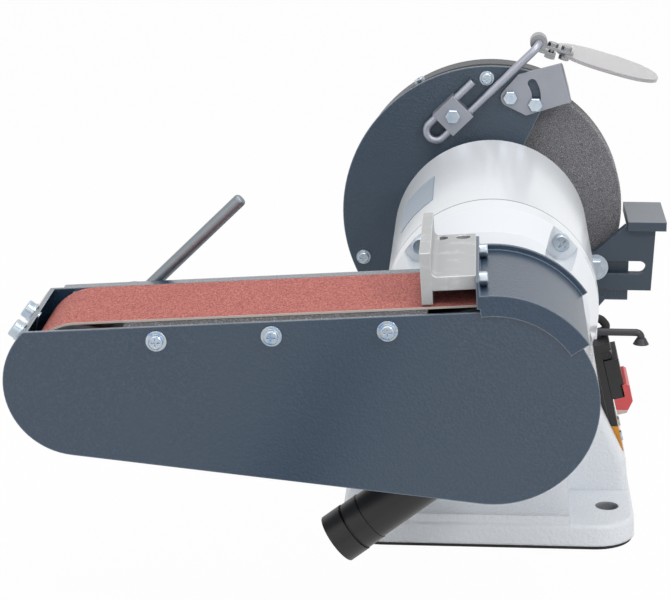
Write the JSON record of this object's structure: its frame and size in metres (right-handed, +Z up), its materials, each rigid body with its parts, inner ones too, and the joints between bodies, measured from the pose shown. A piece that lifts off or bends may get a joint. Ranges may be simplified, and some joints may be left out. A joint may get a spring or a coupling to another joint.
{
  "type": "bench grinder with belt sander",
  "caption": "Bench motor with a tilting sanding belt arm on one shaft end and a guarded grinding wheel with tool rest, spark arrester and eye shield on the other.",
  "frame": {"origin": "centre of the base on the surface it stands on", "axes": "+Z up, +X to the operator's side, +Y along the shaft from the belt to the wheel"},
  "size_m": [0.4157, 0.525, 0.2873],
  "materials": {
    "base_white": "gloss white paint",
    "motor_white": "gloss white paint",
    "blue_grey_paint": "hammered blue-grey paint",
    "rest_casting": "blue-grey paint, worn edges",
    "grey_steel": "satin grey",
    "chrome": "polished",
    "zinc": "bluish zinc plate",
    "bright_steel": "ground",
    "laminations": "oiled sheet",
    "copper_wire": "varnished",
    "cast_aluminium": "as cast, rubbed edges",
    "abrasive_wheel": "coarse grey grit",
    "abrasive_belt": "red-brown grit on cloth",
    "graphite": "speckled graphite cloth",
    "black_rubber": "matt",
    "black_plastic": "satin",
    "amber_plastic": "satin",
    "red_plastic": "satin",
    "green_plastic": "satin",
    "clear_shield": "clear",
    "gunmetal": "dark satin",
    "lamp_glass": "clear"
  },
  "bodies": {
    "base": {"base_casting": "base_white", "base_pad": "black_rubber", "motor_shell": "motor_white", "near_bell": "motor_white", "far_bell": "motor_white", "motor_bolts": "zinc", "stator_core": "laminations", "stator_windings": "copper_wire", "motor_bearings": "bright_steel", "switch_plate": "amber_plastic", "switch_screws": "zinc", "switch_body": "black_plastic", "motor_cable": "black_rubber", "cable_glands": "black_plastic", "guard_plate": "blue_grey_paint", "guard_band": "blue_grey_paint", "guard_screws": "zinc", "guard_cover": "blue_grey_paint", "rod_clamp": "grey_steel", "guard_bolts": "zinc", "rest_bolt": "zinc"},
    "rotor": {"motor_shaft": "bright_steel", "rotor_core": "laminations", "drive_wheel": "cast_aluminium", "drive_tyre": "black_rubber", "shaft_nuts": "bright_steel", "wheel_flanges": "bright_steel", "grinding_wheel": "abrasive_wheel"},
    "arm": {"arm_hub": "cast_aluminium", "arm_clamp_bolt": "zinc", "arm_screws": "zinc", "belt_tray": "blue_grey_paint", "belt_cover": "blue_grey_paint", "cover_screws": "zinc", "platen": "bright_steel", "graphite_pad": "graphite", "carriage_guides": "bright_steel", "tension_spring": "bright_steel", "hood": "blue_grey_paint", "work_stop": "cast_aluminium", "stop_screws": "zinc", "dust_port": "black_plastic", "dust_adapter": "black_plastic", "sanding_belt": "abrasive_belt"},
    "carriage": {"carriage": "bright_steel", "idler_axle": "bright_steel"},
    "idler": {"idler_roller": "cast_aluminium", "idler_bearings": "bright_steel"},
    "lever": {"tension_lever": "zinc"},
    "rest": {"tool_rest": "rest_casting"},
    "arrester": {"spark_arrester": "grey_steel"},
    "rod": {"shield_rod": "zinc"},
    "shield": {"shield_clamp": "chrome", "shield_lens": "clear_shield"},
    "flap": {"switch_flap": "black_plastic"},
    "paddle": {"stop_paddle": "red_plastic"},
    "start": {"start_button": "green_plastic"},
    "stop": {"stop_button": "red_plastic"},
    "lamp": {"lamp_arm": "gunmetal", "lamp_lens": "lamp_glass"}
  },
  "joints": [
    {"name": "shaft_spin", "type": "hinge", "parent": "base", "child": "rotor", "pos_m": [0, 0, 0.152], "axis": [0, 1, 0], "continuous": true},
    {"name": "arm_tilt", "type": "hinge", "parent": "base", "child": "arm", "pos_m": [0, -0.18, 0.152], "axis": [0, 1, 0], "range_deg": [0, 90]},
    {"name": "lever_turn", "type": "hinge", "parent": "arm", "child": "lever", "pos_m": [-0.22182, -0.198, 0.17822], "axis": [0, -1, 0], "range_deg": [0, 80]},
    {"name": "carriage_slide", "type": "slide", "parent": "arm", "child": "carriage", "axis": [0.9995, 0, -0.0307], "range_m": [0, 0.0064], "deforming": ["tension_spring"]},
    {"name": "idler_spin", "type": "hinge", "parent": "carriage", "child": "idler", "pos_m": [-0.23971, -0.258, 0.15937], "axis": [0, 1, 0], "continuous": true},
    {"name": "rest_slide", "type": "slide", "parent": "base", "child": "rest", "axis": [1, 0, 0], "range_m": [-0.002, 0.01]},
    {"name": "arrester_tilt", "type": "hinge", "parent": "base", "child": "arrester", "pos_m": [0.0132, 0.1465, 0.2408], "axis": [0, -1, 0], "range_deg": [-2, 4]},
    {"name": "rod_slide", "type": "slide", "parent": "base", "child": "rod", "axis": [0.7071, 0, 0.7071], "range_m": [-0.002, 0.004]},
    {"name": "shield_tilt", "type": "hinge", "parent": "rod", "child": "shield", "pos_m": [0.03385, 0.158, 0.28082], "axis": [0, -1, 0], "range_deg": [-5, 60]},
    {"name": "flap_hinge", "type": "hinge", "parent": "base", "child": "flap", "pos_m": [0.07865, -0.05, 0.10768], "axis": [0, -1, 0], "range_deg": [0, 90]},
    {"name": "paddle_press", "type": "slide", "parent": "flap", "child": "paddle", "axis": [-0.9703, 0, -0.2419], "range_m": [0, 0.001], "stiffness_N_per_m": 400},
    {"name": "start_press", "type": "slide", "parent": "base", "child": "start", "axis": [-0.9703, 0, -0.2419], "range_m": [0, 0.0015], "stiffness_N_per_m": 300},
    {"name": "stop_press", "type": "slide", "parent": "base", "child": "stop", "axis": [-0.9703, 0, -0.2419], "range_m": [0, 0.0015], "stiffness_N_per_m": 300},
    {"name": "lamp_turn", "type": "hinge", "parent": "base", "child": "lamp", "pos_m": [0.07, -0.088, 0.13], "axis": [1, 0, 0], "range_deg": [-60, 60]}
  ],
  "couplings": [
    {"joint": "carriage_slide", "follows": "lever_turn", "m_per_rad": 0.0045837},
    {"joint": "idler_spin", "follows": "shaft_spin", "ratio": 1.6975}
  ]
}
